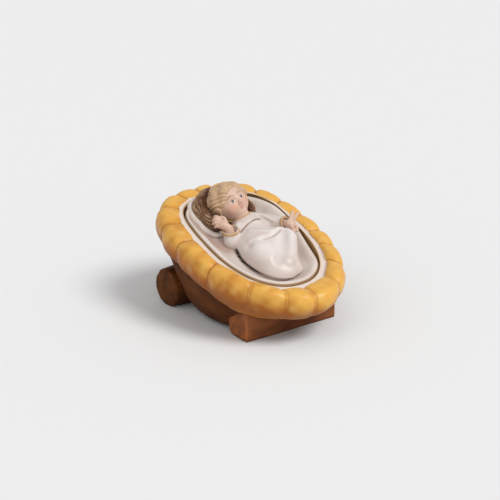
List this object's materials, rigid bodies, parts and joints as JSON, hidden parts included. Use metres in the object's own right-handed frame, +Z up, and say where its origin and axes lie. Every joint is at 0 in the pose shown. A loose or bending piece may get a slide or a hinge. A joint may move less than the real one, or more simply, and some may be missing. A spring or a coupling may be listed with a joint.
{
  "type": "nativity child figurine in a cradle",
  "caption": "Carved and painted nativity child in a white robe, lying loose on its blanket in a rounded cradle with a straw rim.",
  "frame": {"origin": "middle of the base's bounding rectangle, on the table", "axes": "+Z up, +Y towards the head end, +X towards the child's left"},
  "size_m": [0.0476, 0.0646, 0.0366],
  "materials": {
    "stained_wood": "satin",
    "straw_paint": "satin",
    "white_paint": "satin",
    "hay_stain": "satin"
  },
  "bodies": {
    "root": {"cradle": "stained_wood", "child_on_blanket": "white_paint"}
  },
  "joints": []
}
